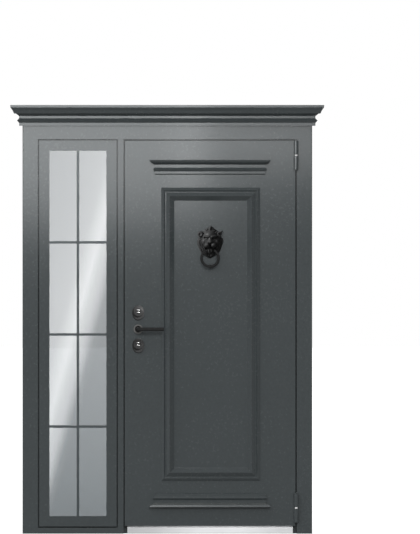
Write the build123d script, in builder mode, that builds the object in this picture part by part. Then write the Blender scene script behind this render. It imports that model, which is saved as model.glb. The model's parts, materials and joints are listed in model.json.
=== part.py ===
"""Steel entrance door set: wide frame with a cornice, a fixed glazed sidelight and a hinged leaf.

Millimetres. X runs to the right seen from outside, Y into the house, Z up.
The origin lies on the floor, on the centre line of the frame, in the plane of the wall's outer face.
"""

import os

from build123d import *

# Frame
frame_width = 1500.0
frame_height = 2200.0
flange_depth = 20.0
frame_depth = 100.0
wall_cover = 50.0
jamb_face = 80.0
head_face = 157.5
mullion_face = 29.0
seam = 6.5
stop_overlap = 14.0
stop_gap = 6.0
sill_height = 31.0
threshold_height = 33.6
frame_edge_radius = 4.0

# Leaf
leaf_width = 884.0
leaf_foot = 40.0
lip_thickness = 30.0
box_inset = 26.0
core_thickness = 50.0
inner_panel_thickness = 10.0
leaf_edge_radius = 2.0

# Sidelight
sash_face = 53.0
sash_lip = 6.0
glass_cover = 15.0
pane_thickness = 4.0
pane_gap = 14.0
glass_play = 0.2

# Cornice as pairs of height above its foot and projection
cornice_drop = 88.0
cornice_profile = [
    (0.0, 16.4),
    (15.0, 17.0),
    (26.7, 27.4),
    (38.6, 16.5),
    (50.5, 17.0),
    (63.0, 33.7),
    (63.0, 42.5),
    (78.5, 49.5),
    (93.5, 60.4),
    (106.0, 61.0),
]

# Ledge mouldings on the leaf, the same way; the base ledge is measured from its top down
head_ledge_profile = [
    (0.0, 2.5),
    (5.0, 8.0),
    (16.6, 8.0),
    (25.9, 16.0),
    (36.3, 8.0),
    (51.8, 8.0),
    (64.3, 28.0),
    (75.1, 34.0),
]
base_ledge_profile = [
    (0.0, 2.5),
    (5.0, 8.0),
    (16.6, 8.0),
    (25.9, 16.0),
    (36.3, 8.0),
    (50.0, 8.0),
    (60.5, 28.0),
    (70.5, 34.0),
]
ledge_side_margin = 162.5
head_ledge_drop = 177.0
base_ledge_rise = 170.2

# Rectangular panel moulding: its section as shares of width and height from the outer edge
moulding_section = [
    (0.0, 0.0),
    (0.0, 0.08),
    (0.2, 0.55),
    (0.31, 0.29),
    (0.38, 0.36),
    (0.64, 1.0),
    (0.97, 0.06),
    (1.0, 0.0),
]
moulding_width = 68.0
moulding_height = 22.0
moulding_left_margin = 189.0
moulding_right_margin = 183.0
moulding_top_gap = 67.0
moulding_foot_gap = 63.5
moulding_play = 0.1
inner_moulding_width = 40.0
inner_moulding_height = 9.0

# Hinges
hinge_stand_off = 13.0
barrel_radius = 11.5
pin_radius = 5.0
pin_clearance = 0.05
pin_reach = 55.0
bearing_radius = 8.5
bearing_height = 8.0
bearing_play = 0.3
knuckle_height = 72.0
upper_hinge_drop = 77.0
lower_hinge_rise = 94.6
hinge_edge = 1.5
web_thickness = 2.5
web_depth = 16.0

# Locks and lever
backset = 70.0
lever_height = 1059.0
lock_spacing = 85.0
rosette_radius = 24.5
rosette_thickness = 9.0
rosette_recess_radius = 16.0
rosette_recess_depth = 5.0
lever_stand_off = 55.0
lever_length = 133.0
lever_bar_radius = 9.5
neck_gap = 0.3
lever_tip_radius = 2.5
spindle_radius = 6.0
spindle_clearance = 0.08
plate_width = 61.0
plate_height = 76.0
plate_thickness = 8.0
plate_bevel = 4.0
boss_radius = 24.5
boss_thickness = 6.0
boss_bevel = 3.0
cylinder_radius = 8.5
cylinder_rise = 9.0
cylinder_proud = 2.0
cylinder_play = 0.05
keyway_length = 9.0
keyway_width = 2.5
keyway_depth = 4.0
faceplate_width = 24.0
faceplate_height = 260.0
faceplate_thickness = 3.0
plate_play = 0.1

# Knocker
knocker_drop = 283.5
mask_outline = [
    (0.0, 86.0),
    (9.0, 85.0),
    (20.0, 73.0),
    (32.0, 62.0),
    (43.0, 56.0),
    (60.0, 57.0),
    (67.0, 42.0),
    (60.5, 28.5),
    (67.5, 8.0),
    (66.0, -14.5),
    (58.5, -36.0),
    (49.0, -53.0),
    (35.0, -64.0),
    (18.0, -75.5),
    (0.0, -84.0),
]
mask_thickness = 14.0
face_radius = 50.0
face_height = 46.0
muzzle_radius = 22.0
muzzle_reach = 62.0
muzzle_drop = 14.0
ring_drop = 44.0
ring_stand_off = 32.0
ring_radius = 44.0
ring_bar_radius = 6.75
ring_knob_radius = 8.0
ring_knob_reach = 10.5
ring_knob_edge = 2.0
ring_pin_radius = 5.0
ring_pin_half = 24.0
ring_clearance = 0.08
mouth_side_gap = 5.0
mouth_wall = 8.0
strike_radius = 8.0
strike_gap = 0.8

# Wall anchors
anchor_radius = 6.0
anchor_depth = 85.0
anchor_end = 250.0
anchor_pitch = 650.0

# Seal
seal_width = 7.0
seal_height = 4.8

# Shared positions
front = -flange_depth
half_frame = frame_width / 2
box_half = half_frame - wall_cover
box_top = frame_height - wall_cover
lip_back = front + lip_thickness
stop_front = lip_back + stop_gap
core_back = lip_back + core_thickness
inner_face = core_back + inner_panel_thickness
right_edge = half_frame - jamb_face - seam
left_edge = right_edge - leaf_width
head_foot = frame_height - head_face
leaf_top = head_foot - seam
leaf_centre = (left_edge + right_edge) / 2
right_stop = right_edge - stop_overlap
left_stop = left_edge + stop_overlap
mullion_right = left_edge - seam
mullion_left = mullion_right - mullion_face
sash_right = mullion_left - seam
sash_left = -half_frame + jamb_face + seam
sash_foot = sill_height + seam
sash_top = leaf_top
sash_right_stop = sash_right - stop_overlap
sash_left_stop = sash_left + stop_overlap
head_stop = leaf_top - stop_overlap
threshold_stop = leaf_foot + stop_overlap
sill_stop = sash_foot + stop_overlap
glass_front = front + sash_lip
glass_back = glass_front + 2 * pane_thickness + pane_gap
bead_back = stop_front
hinge_x = right_edge + seam / 2
hinge_y = front - hinge_stand_off
lock_x = left_edge + backset
cornice_foot = frame_height - cornice_drop
ledge_half = leaf_width / 2 - ledge_side_margin
base_ledge_height = base_ledge_profile[-1][0]
head_ledge_foot = leaf_top - head_ledge_drop
base_ledge_top = leaf_foot + base_ledge_rise
base_ledge_foot = base_ledge_top - base_ledge_height
outer_left = left_edge + moulding_left_margin
outer_right = right_edge - moulding_right_margin
outer_foot = base_ledge_top + moulding_foot_gap
outer_top = head_ledge_foot - moulding_top_gap
moulding_outer_width = outer_right - outer_left
moulding_outer_height = outer_top - outer_foot
upper_hinge_joint = leaf_top - upper_hinge_drop
lower_hinge_joint = leaf_foot + lower_hinge_rise
knocker_height = outer_top - knocker_drop
ring_pivot_height = knocker_height - ring_drop
ring_hang = (ring_radius**2 - ring_pin_half**2) ** 0.5
ring_centre_height = ring_pivot_height - ring_hang
ring_y = front - ring_stand_off
anchor_heights = [
    anchor_end,
    anchor_end + anchor_pitch,
    frame_height - anchor_end - anchor_pitch,
    frame_height - anchor_end,
]

os.makedirs("parts", exist_ok=True)


def slab(x0, x1, y0, y1, z0, z1, mode=Mode.ADD):
    """Adds or cuts a box given by its limits."""
    with Locations(((x0 + x1) / 2, (y0 + y1) / 2, (z0 + z1) / 2)):
        Box(abs(x1 - x0), abs(y1 - y0), abs(z1 - z0), mode=mode)


def rod_y(x, z, radius, y0, y1, mode=Mode.ADD):
    """Adds or cuts a cylinder along Y."""
    with Locations(Location((x, (y0 + y1) / 2, z), (90, 0, 0))):
        Cylinder(radius, abs(y1 - y0), mode=mode)


def rod_x(y, z, radius, x0, x1, mode=Mode.ADD):
    """Adds or cuts a cylinder along X."""
    with Locations(Location(((x0 + x1) / 2, y, z), (0, 90, 0))):
        Cylinder(radius, abs(x1 - x0), mode=mode)


def rod_z(x, y, radius, z0, z1, mode=Mode.ADD):
    """Adds or cuts a cylinder along Z."""
    with Locations((x, y, (z0 + z1) / 2)):
        Cylinder(radius, abs(z1 - z0), mode=mode)


def front_edges(part, axis, low_x, high_x):
    """Picks the front edges along an axis between two positions across the frame."""
    edges = part.edges().filter_by(axis)
    edges = edges.filter_by_position(Axis.Y, front - 0.01, front + 0.01)
    return edges.filter_by_position(Axis.X, low_x, high_x)


def save(part, name):
    """Labels one piece and writes it."""
    part.label = name
    export_step(part, f"parts/{name}.step")


# Jambs stand the full height and carry the anchor holes
with BuildPart() as left_jamb:
    slab(-half_frame, sash_left - seam, front, 0, 0, frame_height)
    slab(-box_half, sash_left - seam, 0, stop_front, 0, box_top)
    slab(-box_half, sash_left_stop, stop_front, frame_depth, 0, box_top)
    for height in anchor_heights:
        rod_x(anchor_depth, height, anchor_radius, -box_half - 1, sash_left_stop + 1, Mode.SUBTRACT)
    fillet(front_edges(left_jamb, Axis.Z, -half_frame - 1, -half_frame + 1), radius=frame_edge_radius)
save(left_jamb.part, "left_jamb")

with BuildPart() as right_jamb:
    slab(right_edge + seam, half_frame, front, 0, 0, frame_height)
    slab(right_edge + seam, box_half, 0, stop_front, 0, box_top)
    slab(right_stop, box_half, stop_front, frame_depth, 0, box_top)
    for height in anchor_heights:
        rod_x(anchor_depth, height, anchor_radius, right_stop - 1, box_half + 1, Mode.SUBTRACT)
    fillet(front_edges(right_jamb, Axis.Z, half_frame - 1, half_frame + 1), radius=frame_edge_radius)
save(right_jamb.part, "right_jamb")

# Head between the jambs
with BuildPart() as frame_head:
    slab(sash_left - seam, right_edge + seam, front, 0, head_foot, frame_height)
    slab(sash_left - seam, right_edge + seam, 0, stop_front, head_foot, box_top)
    slab(sash_left_stop, right_stop, stop_front, frame_depth, head_stop, box_top)
save(frame_head.part, "frame_head")

# Mullion between sidelight and leaf, with a pocket for the strike plate
with BuildPart() as mullion:
    slab(mullion_left, mullion_right, front, stop_front, 0, head_foot)
    slab(sash_right_stop, left_stop, stop_front, frame_depth, 0, head_stop)
    slab(
        left_stop - faceplate_thickness,
        left_stop + 1,
        (lip_back + core_back - faceplate_width) / 2,
        (lip_back + core_back + faceplate_width) / 2,
        lever_height - faceplate_height / 2,
        lever_height + faceplate_height / 2,
        Mode.SUBTRACT,
    )
save(mullion.part, "mullion")

# Sill under the sidelight
with BuildPart() as sidelight_sill:
    slab(sash_left - seam, mullion_left, front, stop_front, 0, sill_height)
    slab(sash_left_stop, sash_right_stop, stop_front, frame_depth, 0, sill_stop)
save(sidelight_sill.part, "sidelight_sill")

# Stepped threshold under the leaf
with BuildPart() as threshold:
    slab(left_stop, right_stop, front, stop_front, 0, threshold_height)
    slab(left_stop, right_stop, stop_front, frame_depth, 0, threshold_stop)
    edges = threshold.edges().filter_by(Axis.X)
    edges = edges.filter_by_position(Axis.Z, threshold_height - 0.01, threshold_height + 0.01)
    fillet(edges.filter_by_position(Axis.Y, front - 0.01, front + 0.01), radius=2.0)
save(threshold.part, "threshold")


def stepped_ledge(profile, foot, half_length, centre, face, back, flip=False):
    """Builds a moulding with mitred returns: the overlap of a front run and an end run of one profile."""
    top = profile[-1][0]
    steps = [(foot + (top - z if flip else z), p) for z, p in profile]
    with BuildSketch(Plane.YZ.offset(centre - 2 * half_length)) as front_run:
        with BuildLine():
            points = [(back, steps[0][0])]
            points += [(face - p, z) for z, p in steps]
            points += [(back, steps[-1][0])]
            Polyline(*points, close=True)
        make_face()
    extrude(front_run.sketch, amount=4 * half_length)
    with BuildSketch(Plane.XZ.offset(-back - 1)) as end_run:
        with BuildLine():
            points = [(centre + half_length + p, z) for z, p in steps]
            points += [(centre - half_length - p, z) for z, p in reversed(steps)]
            Polyline(*points, close=True)
        make_face()
    extrude(end_run.sketch, amount=400.0, mode=Mode.INTERSECT)


# Cornice wraps the head of the frame and returns to the wall
with BuildPart() as cornice:
    stepped_ledge(cornice_profile, cornice_foot, half_frame, 0, front, 0)
    slab(-half_frame, half_frame, front, 1, cornice_foot - 1, frame_height, Mode.SUBTRACT)
save(cornice.part, "cornice")


# Sidelight sash: stiles run full height, rails fit between them
def sash_stile(outer, side):
    """Adds a stile that grows towards the glass from its outer edge."""
    slab(outer, outer + side * sash_face, front, glass_front, sash_foot, sash_top)
    slab(outer, outer + side * (sash_face - glass_cover), glass_front, stop_front, sash_foot, sash_top)


def sash_rail(outer, side):
    """Adds a rail that grows towards the glass from its outer edge."""
    inner_left = sash_left + sash_face
    inner_right = sash_right - sash_face
    slab(inner_left, inner_right, front, glass_front, outer, outer + side * sash_face)
    slab(
        inner_left - glass_cover,
        inner_right + glass_cover,
        glass_front,
        stop_front,
        outer,
        outer + side * (sash_face - glass_cover),
    )


with BuildPart() as sash_left_stile:
    sash_stile(sash_left, 1)
save(sash_left_stile.part, "sash_left_stile")

with BuildPart() as sash_right_stile:
    sash_stile(sash_right, -1)
save(sash_right_stile.part, "sash_right_stile")

with BuildPart() as sash_top_rail:
    sash_rail(sash_top, -1)
save(sash_top_rail.part, "sash_top_rail")

with BuildPart() as sash_bottom_rail:
    sash_rail(sash_foot, 1)
save(sash_bottom_rail.part, "sash_bottom_rail")

# Double glazing and its beads
pocket_left = sash_left + sash_face - glass_cover
pocket_right = sash_right - sash_face + glass_cover
pocket_foot = sash_foot + sash_face - glass_cover
pocket_top = sash_top - sash_face + glass_cover


def pane(y0):
    """Adds one pane that fills the glazing pocket."""
    slab(
        pocket_left + glass_play,
        pocket_right - glass_play,
        y0,
        y0 + pane_thickness,
        pocket_foot + glass_play,
        pocket_top - glass_play,
    )


with BuildPart() as outer_glass_pane:
    pane(glass_front)
save(outer_glass_pane.part, "outer_glass_pane")

with BuildPart() as inner_glass_pane:
    pane(glass_back - pane_thickness)
save(inner_glass_pane.part, "inner_glass_pane")

with BuildPart() as glazing_beads:
    for x in (pocket_left, pocket_right - glass_cover):
        slab(x, x + glass_cover, glass_back, bead_back, pocket_foot, pocket_top)
    for z in (pocket_foot, pocket_top - glass_cover):
        slab(
            pocket_left + glass_cover + plate_play,
            pocket_right - glass_cover - plate_play,
            glass_back,
            bead_back,
            z,
            z + glass_cover,
        )
save(glazing_beads.part, "glazing_beads")

# Leaf: outer panel with a lip, insulated core and inner panel, all bored for the lever's spindle
bore_radius = spindle_radius + spindle_clearance
with BuildPart() as leaf_outer_panel:
    slab(left_edge, right_edge, front, lip_back, leaf_foot, leaf_top)
    rim = leaf_outer_panel.faces().sort_by(Axis.Y)[0].edges()
    fillet(rim, radius=leaf_edge_radius)
    rod_y(lock_x, lever_height, bore_radius, front - 1, lip_back + 1, Mode.SUBTRACT)
save(leaf_outer_panel.part, "leaf_outer_panel")

plate_y = (lip_back + core_back) / 2
box_left = left_edge + box_inset
box_right = right_edge - box_inset
box_foot = leaf_foot + box_inset
leaf_box_top = leaf_top - box_inset
with BuildPart() as leaf_core:
    slab(box_left, box_right, lip_back, core_back, box_foot, leaf_box_top)
    rod_y(lock_x, lever_height, bore_radius, lip_back - 1, core_back + 1, Mode.SUBTRACT)
    slab(
        box_left - 1,
        box_left + faceplate_thickness,
        plate_y - faceplate_width / 2,
        plate_y + faceplate_width / 2,
        lever_height - faceplate_height / 2,
        lever_height + faceplate_height / 2,
        Mode.SUBTRACT,
    )
save(leaf_core.part, "leaf_core")

with BuildPart() as leaf_inner_panel:
    slab(box_left, box_right, core_back, inner_face, box_foot, leaf_box_top)
    rim = leaf_inner_panel.faces().sort_by(Axis.Y)[-1].edges()
    fillet(rim, radius=leaf_edge_radius)
    rod_y(lock_x, lever_height, bore_radius, core_back - 1, inner_face + 1, Mode.SUBTRACT)
save(leaf_inner_panel.part, "leaf_inner_panel")

# Lock faceplate in the leaf's edge and strike plate in the mullion
with BuildPart() as lock_faceplate:
    slab(
        box_left,
        box_left + faceplate_thickness - plate_play,
        plate_y - faceplate_width / 2 + plate_play,
        plate_y + faceplate_width / 2 - plate_play,
        lever_height - faceplate_height / 2 + plate_play,
        lever_height + faceplate_height / 2 - plate_play,
    )
save(lock_faceplate.part, "lock_faceplate")

with BuildPart() as strike_plate:
    slab(
        left_stop - faceplate_thickness + plate_play,
        left_stop,
        plate_y - faceplate_width / 2 + plate_play,
        plate_y + faceplate_width / 2 - plate_play,
        lever_height - faceplate_height / 2 + plate_play,
        lever_height + faceplate_height / 2 - plate_play,
    )
save(strike_plate.part, "strike_plate")


# Panel mouldings: a straight run of the profile with its two ends cut along the mitres
def panel_run(corner, along, inward, length, width, height, outward):
    """Adds one mitred member from its outer corner along one edge of the rectangle."""
    run = Plane(origin=corner, x_dir=inward, z_dir=along)
    rise = 1 if (run.y_dir - Vector(*outward)).length < 0.5 else -1
    points = [(across * width, rise * out * height) for across, out in moulding_section]
    with BuildSketch(run) as section:
        with BuildLine():
            Polyline(*points, close=True)
        make_face()
    extrude(section.sketch, amount=length)
    near = Vector(*along) * -1 + Vector(*inward)
    far = Vector(*along) + Vector(*inward)
    start = Vector(*corner) + Vector(*along) * moulding_play
    end = Vector(*corner) + Vector(*along) * (length - moulding_play)
    split(bisect_by=Plane(origin=start, z_dir=near), keep=Keep.BOTTOM)
    split(bisect_by=Plane(origin=end, z_dir=far), keep=Keep.BOTTOM)


out_front = (0, -1, 0)
out_back = (0, 1, 0)
up = (0, 0, 1)
down = (0, 0, -1)
right = (1, 0, 0)
left = (-1, 0, 0)


def outer_run(corner, along, inward, length):
    """Adds one member of the rectangle on the outside."""
    panel_run(corner, along, inward, length, moulding_width, moulding_height, out_front)


with BuildPart() as panel_moulding_left:
    outer_run((outer_left, front, outer_foot), up, right, moulding_outer_height)
save(panel_moulding_left.part, "panel_moulding_left")

with BuildPart() as panel_moulding_right:
    outer_run((outer_right, front, outer_foot), up, left, moulding_outer_height)
save(panel_moulding_right.part, "panel_moulding_right")

with BuildPart() as panel_moulding_top:
    outer_run((outer_left, front, outer_top), right, down, moulding_outer_width)
save(panel_moulding_top.part, "panel_moulding_top")

with BuildPart() as panel_moulding_bottom:
    outer_run((outer_left, front, outer_foot), right, up, moulding_outer_width)
save(panel_moulding_bottom.part, "panel_moulding_bottom")


# The inside repeats the rectangle in a plainer, narrower run
def inner_run(corner, along, inward, length):
    """Adds one member of the rectangle on the inside."""
    panel_run(corner, along, inward, length, inner_moulding_width, inner_moulding_height, out_back)


with BuildPart() as inner_moulding_stiles:
    inner_run((outer_left, inner_face, outer_foot), up, right, moulding_outer_height)
    mirror(about=Plane.YZ.offset((outer_left + outer_right) / 2))
save(inner_moulding_stiles.part, "inner_moulding_stiles")

with BuildPart() as inner_moulding_rails:
    inner_run((outer_left, inner_face, outer_foot), right, up, moulding_outer_width)
    mirror(about=Plane.XY.offset((outer_foot + outer_top) / 2))
save(inner_moulding_rails.part, "inner_moulding_rails")

# Ledges above and below the panel
with BuildPart() as head_ledge:
    stepped_ledge(head_ledge_profile, head_ledge_foot, ledge_half, leaf_centre, front, front)
save(head_ledge.part, "head_ledge")

with BuildPart() as base_ledge:
    stepped_ledge(base_ledge_profile, base_ledge_foot, ledge_half, leaf_centre, front, front, flip=True)
save(base_ledge.part, "base_ledge")


# Lift-off hinges: the frame half carries the pin, the leaf half drops over it
def barrel_chamfer(hinge):
    """Breaks the end edges of the plain barrel."""
    chamfer(hinge.edges().filter_by(GeomType.CIRCLE), length=hinge_edge)


def frame_knuckle(hinge, joint):
    """Adds the lower barrel with its pin and its web in the seam."""
    top = joint - bearing_height / 2
    foot = top - knuckle_height
    rod_z(hinge_x, hinge_y, barrel_radius, foot, top)
    barrel_chamfer(hinge)
    jamb = right_edge + seam
    slab(jamb - web_thickness, jamb, hinge_y + pin_radius, front + web_depth, foot, top)
    rod_z(hinge_x, hinge_y, pin_radius, top - 1, top + bearing_height + pin_reach)


def leaf_knuckle(hinge, joint):
    """Adds the upper barrel with its bore and its web in the seam."""
    foot = joint + bearing_height / 2 + bearing_play
    top = foot + knuckle_height
    rod_z(hinge_x, hinge_y, barrel_radius, foot, top)
    barrel_chamfer(hinge)
    slab(right_edge, right_edge + web_thickness, hinge_y + pin_radius, front + web_depth, foot, top)
    rod_z(hinge_x, hinge_y, pin_radius + pin_clearance, foot - 1, foot + pin_reach + 2, Mode.SUBTRACT)


with BuildPart() as upper_hinge_frame_knuckle:
    frame_knuckle(upper_hinge_frame_knuckle, upper_hinge_joint)
save(upper_hinge_frame_knuckle.part, "upper_hinge_frame_knuckle")

with BuildPart() as lower_hinge_frame_knuckle:
    frame_knuckle(lower_hinge_frame_knuckle, lower_hinge_joint)
save(lower_hinge_frame_knuckle.part, "lower_hinge_frame_knuckle")

with BuildPart() as upper_hinge_leaf_knuckle:
    leaf_knuckle(upper_hinge_leaf_knuckle, upper_hinge_joint)
save(upper_hinge_leaf_knuckle.part, "upper_hinge_leaf_knuckle")

with BuildPart() as lower_hinge_leaf_knuckle:
    leaf_knuckle(lower_hinge_leaf_knuckle, lower_hinge_joint)
save(lower_hinge_leaf_knuckle.part, "lower_hinge_leaf_knuckle")

with BuildPart() as hinge_bearings:
    for joint in (upper_hinge_joint, lower_hinge_joint):
        low = joint - bearing_height / 2
        rod_z(hinge_x, hinge_y, bearing_radius, low, low + bearing_height)
        rod_z(hinge_x, hinge_y, pin_radius + pin_clearance, low - 1, low + bearing_height + 1, Mode.SUBTRACT)
save(hinge_bearings.part, "hinge_bearings")


# Lever set
def rosette(face, side):
    """Adds a round rosette on a face of the leaf, hollowed around the lever's neck."""
    tip = face + side * rosette_thickness
    floor = tip - side * rosette_recess_depth
    rod_y(lock_x, lever_height, rosette_radius, face, tip)
    rod_y(lock_x, lever_height, rosette_recess_radius, floor, tip + side, Mode.SUBTRACT)
    rod_y(lock_x, lever_height, bore_radius, face - side, tip, Mode.SUBTRACT)


with BuildPart() as outer_rosette:
    rosette(front, -1)
save(outer_rosette.part, "outer_rosette")

with BuildPart() as inner_rosette:
    rosette(inner_face, 1)
save(inner_rosette.part, "inner_rosette")

middle_y = (front + inner_face) / 2


def lever(handle, face, side):
    """Adds one lever: half of the spindle, a round neck, its bend and the bar towards the hinges."""
    root = face + side * (rosette_thickness - rosette_recess_depth + neck_gap)
    bar = face + side * lever_stand_off
    tip = lock_x + lever_length
    rod_x(bar, lever_height, lever_bar_radius, lock_x, tip)
    rim = handle.edges().sort_by(Axis.X)[-1]
    fillet(rim, radius=lever_tip_radius)
    rod_y(lock_x, lever_height, lever_bar_radius, root, bar)
    with Locations((lock_x, bar, lever_height)):
        Sphere(lever_bar_radius)
    rod_y(lock_x, lever_height, spindle_radius, middle_y + side * spindle_clearance, root + side)


with BuildPart() as outer_lever:
    lever(outer_lever, front, -1)
save(outer_lever.part, "outer_lever")

with BuildPart() as inner_lever:
    lever(inner_lever, inner_face, 1)
save(inner_lever.part, "inner_lever")


# Oval lock plates above and below the lever, each with a round boss around its cylinder
def lock_plate(plate, z, face, side):
    """Adds one lock plate with bevelled edges and an opening for its cylinder."""
    sheet = Plane(origin=(lock_x, face, z), x_dir=(1, 0, 0), z_dir=(0, side, 0))
    with BuildSketch(sheet) as outline:
        SlotOverall(plate_height, plate_width, rotation=90)
    extrude(outline.sketch, amount=plate_thickness)
    bevel_far(plate, face, side, plate_thickness, plate_bevel)
    rod_y(lock_x, z, boss_radius, face, face + side * (plate_thickness + boss_thickness))
    bevel_far(plate, face, side, plate_thickness + boss_thickness, boss_bevel)
    reach = face + side * (plate_thickness + boss_thickness + 1)
    rod_y(lock_x, z + cylinder_rise, cylinder_radius + cylinder_play, face - side, reach, Mode.SUBTRACT)


def bevel_far(plate, face, side, height, size):
    """Bevels the rim of the face that lies a given height above the leaf."""
    level = face + side * height
    edges = plate.edges().filter_by_position(Axis.Y, level - 0.01, level + 0.01)
    chamfer(edges, length=size)


upper_lock = lever_height + lock_spacing
lower_lock = lever_height - lock_spacing
with BuildPart() as upper_lock_escutcheon:
    lock_plate(upper_lock_escutcheon, upper_lock, front, -1)
save(upper_lock_escutcheon.part, "upper_lock_escutcheon")

with BuildPart() as lower_lock_escutcheon:
    lock_plate(lower_lock_escutcheon, lower_lock, front, -1)
save(lower_lock_escutcheon.part, "lower_lock_escutcheon")

with BuildPart() as upper_inner_escutcheon:
    lock_plate(upper_inner_escutcheon, upper_lock, inner_face, 1)
save(upper_inner_escutcheon.part, "upper_inner_escutcheon")

with BuildPart() as lower_inner_escutcheon:
    lock_plate(lower_inner_escutcheon, lower_lock, inner_face, 1)
save(lower_inner_escutcheon.part, "lower_inner_escutcheon")


def lock_core(z, face, side):
    """Adds one round lock cylinder with its level keyway."""
    tip = face + side * (plate_thickness + boss_thickness + cylinder_proud)
    rod_y(lock_x, z + cylinder_rise, cylinder_radius, face, tip)
    slab(
        lock_x - keyway_length / 2,
        lock_x + keyway_length / 2,
        tip - side * keyway_depth,
        tip + side,
        z + cylinder_rise - keyway_width / 2,
        z + cylinder_rise + keyway_width / 2,
        Mode.SUBTRACT,
    )


with BuildPart() as lock_cylinders:
    for z in (upper_lock, lower_lock):
        lock_core(z, front, -1)
        lock_core(z, inner_face, 1)
save(lock_cylinders.part, "lock_cylinders")

# Knocker: a mask with ears and muzzle, a hanging ring and the stud it strikes
pin_bore = ring_pin_radius + ring_clearance
with BuildPart() as knocker_head:
    with BuildSketch(Plane.XZ.offset(-front)) as mask:
        with BuildLine():
            rim = [(leaf_centre + x, knocker_height + z) for x, z in mask_outline]
            rim += [(leaf_centre - x, knocker_height + z) for x, z in mask_outline[-2:0:-1]]
            Polyline(*rim, close=True)
        make_face()
    extrude(mask.sketch, amount=mask_thickness)
    with BuildSketch(Plane.XY.offset(knocker_height)) as face_half:
        with BuildLine():
            Line((leaf_centre, front), (leaf_centre + face_radius, front))
            EllipticalCenterArc((leaf_centre, front), face_radius, face_height, 270, arc_size=90)
            Line((leaf_centre, front - face_height), (leaf_centre, front))
        make_face()
    revolve(face_half.sketch, axis=Axis((leaf_centre, 0, knocker_height), (0, 1, 0)))
    rod_y(leaf_centre, knocker_height - muzzle_drop, muzzle_radius, front, front - muzzle_reach)
    slab(
        leaf_centre - ring_pin_half + mouth_side_gap,
        leaf_centre + ring_pin_half - mouth_side_gap,
        ring_y - ring_pin_radius - mouth_wall,
        front,
        ring_pivot_height - ring_pin_radius - mouth_wall,
        ring_pivot_height + ring_pin_radius + mouth_wall,
    )
    rod_x(
        ring_y,
        ring_pivot_height,
        pin_bore,
        leaf_centre - 2 * ring_pin_half,
        leaf_centre + 2 * ring_pin_half,
        Mode.SUBTRACT,
    )
save(knocker_head.part, "knocker_head")

with BuildPart() as knocker_ring:
    with Locations(Location((leaf_centre, ring_y, ring_centre_height), (90, 0, 0))):
        Torus(ring_radius, ring_bar_radius)
    slab(
        leaf_centre - ring_pin_half,
        leaf_centre + ring_pin_half,
        ring_y - 2 * ring_bar_radius,
        ring_y + 2 * ring_bar_radius,
        ring_centre_height,
        ring_centre_height + 2 * ring_radius,
        Mode.SUBTRACT,
    )
    rod_x(
        ring_y,
        ring_pivot_height,
        ring_pin_radius,
        leaf_centre - ring_pin_half - 1,
        leaf_centre + ring_pin_half + 1,
    )
    knob_centre = (leaf_centre, ring_y, ring_centre_height - ring_radius)
    knob = Plane(origin=knob_centre, x_dir=(1, 0, 0), z_dir=(0, -1, 0))
    with BuildSketch(knob) as knob_half:
        with BuildLine():
            Polyline(
                (0, -ring_knob_reach),
                (ring_knob_radius, -ring_knob_edge),
                (ring_knob_radius, ring_knob_edge),
                (0, ring_knob_reach),
                close=True,
            )
        make_face()
    revolve(knob_half.sketch, axis=Axis(knob_centre, (0, 0, 1)))
save(knocker_ring.part, "knocker_ring")

with BuildPart() as knocker_strike:
    stud_tip = ring_y + ring_knob_radius + strike_gap
    rod_y(leaf_centre, ring_centre_height - ring_radius, strike_radius, front, stud_tip)
save(knocker_strike.part, "knocker_strike")

# Seal strips on the stops, behind the lip of the leaf
with BuildPart() as door_seal:
    seal_back = stop_front
    seal_front = stop_front - seal_height
    inset = (stop_overlap - seal_width) / 2
    top = leaf_top - inset
    foot = leaf_foot + inset
    for x in (left_edge + inset, right_edge - inset - seal_width):
        slab(x, x + seal_width, seal_front, seal_back, foot, top)
    for z in (foot, top - seal_width):
        slab(
            left_edge + inset + seal_width + plate_play,
            right_edge - inset - seal_width - plate_play,
            seal_front,
            seal_back,
            z,
            z + seal_width,
        )
save(door_seal.part, "door_seal")
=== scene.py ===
"""Dresses a steel entrance door set with a sidelight, a cornice and a lion head knocker.

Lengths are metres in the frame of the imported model: the front looks along -Y, the floor is z = 0
and the wall's outer face is y = 0.
"""

import json
import logging
import math
from dataclasses import dataclass
from enum import Enum
from typing import Any, Sequence

import bpy
import numpy as np
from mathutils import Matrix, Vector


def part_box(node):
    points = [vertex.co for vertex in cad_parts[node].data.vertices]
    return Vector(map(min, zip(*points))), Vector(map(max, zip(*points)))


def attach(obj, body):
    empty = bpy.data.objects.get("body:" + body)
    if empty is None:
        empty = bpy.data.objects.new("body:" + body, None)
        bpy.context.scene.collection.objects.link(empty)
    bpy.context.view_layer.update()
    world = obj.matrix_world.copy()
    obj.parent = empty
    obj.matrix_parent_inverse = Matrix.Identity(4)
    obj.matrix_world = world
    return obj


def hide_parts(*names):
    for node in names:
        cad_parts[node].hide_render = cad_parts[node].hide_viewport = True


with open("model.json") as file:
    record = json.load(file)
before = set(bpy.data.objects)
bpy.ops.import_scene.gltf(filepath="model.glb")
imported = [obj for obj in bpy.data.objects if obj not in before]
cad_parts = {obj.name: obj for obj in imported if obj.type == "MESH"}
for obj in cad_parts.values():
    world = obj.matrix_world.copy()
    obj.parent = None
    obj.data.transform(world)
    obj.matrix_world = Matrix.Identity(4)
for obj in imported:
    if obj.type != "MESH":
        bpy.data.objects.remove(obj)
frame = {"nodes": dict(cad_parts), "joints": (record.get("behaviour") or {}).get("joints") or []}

LOG = logging.getLogger("door_set")
MM = 0.001
TURN = 2 * math.pi
SHARP_ANGLE = math.radians(38)
RIGHT = np.array([1.0, 0.0, 0.0])
INWARD = np.array([0.0, 1.0, 0.0])
UP = np.array([0.0, 0.0, 1.0])
WHITE = (1.0, 1.0, 1.0, 1.0)
# Points round a small, a middling, a large and a very large circle
SMALL, MIDDLING, LARGE, LARGEST = 32, 48, 64, 96
# The range that most of a noise texture's values lie in
NOISE_LOW, NOISE_HIGH = 0.3, 0.7

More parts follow.
